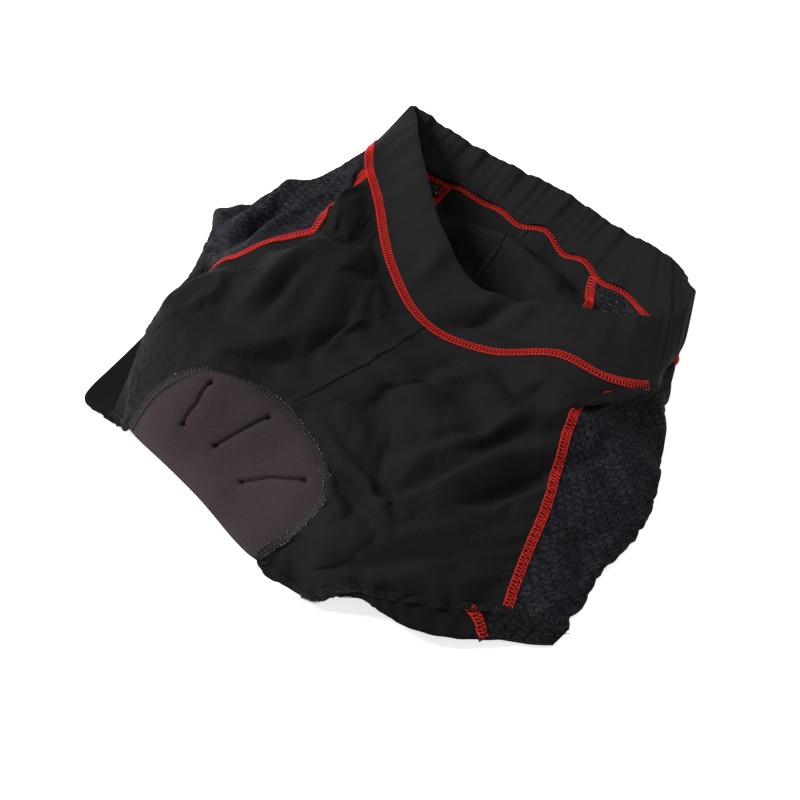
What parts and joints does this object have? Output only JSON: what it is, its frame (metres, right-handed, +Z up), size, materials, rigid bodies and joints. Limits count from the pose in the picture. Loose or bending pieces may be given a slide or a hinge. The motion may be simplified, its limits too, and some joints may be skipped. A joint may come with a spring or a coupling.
{
  "type": "padded shorts",
  "caption": "Close-fitting padded under-shorts for snow sports with a crotch and seat pad, mesh side panels and a wide folded waistband, lying on their back.",
  "frame": {"origin": "centre of the outline on the surface the shorts lie on", "axes": "+X towards the wearer's left, +Y from the crotch fold towards the waist, +Z up from the surface, through the back and out of the front"},
  "size_m": [0.4371, 0.4224, 0.086],
  "materials": {
    "knit": "matte stretch knit",
    "band": "matte smooth stretch knit, doubled",
    "mesh": "perforated stretch mesh",
    "hem": "matte knit, doubled",
    "thread": "red flatlock thread",
    "dark_thread": "black flatlock thread",
    "border": "dark grey flatlock thread",
    "pad": "brushed knit over foam",
    "foam": "soft closed-cell foam",
    "elastic": "woven elastic"
  },
  "bodies": {
    "root": {"front_panel_left": "knit", "side_mesh_left": "mesh", "back_panel_left": "knit", "front_side_seam_left": "thread", "back_side_seam_left": "thread", "hem_coverstitch_left": "dark_thread", "leg_hem_left": "hem", "inseam_left": "dark_thread", "hem_seam_tab_left": "thread", "front_panel_right": "knit", "side_mesh_right": "mesh", "back_panel_right": "knit", "front_side_seam_right": "thread", "back_side_seam_right": "thread", "hem_coverstitch_right": "dark_thread", "leg_hem_right": "hem", "inseam_right": "dark_thread", "hem_seam_tab_right": "thread", "centre_front_seam": "dark_thread", "centre_back_seam": "dark_thread", "waistband_front": "band", "waistband_back_left": "band", "waistband_back_right": "band", "waist_elastic": "elastic", "waist_seam_front": "thread", "waist_seam_back": "thread", "pad_cover": "pad", "pad_foam_front": "foam", "pad_foam_seat": "foam", "pad_lining_front": "knit", "pad_lining_seat": "knit", "pad_border_front": "border", "pad_border_back": "border"}
  },
  "joints": []
}
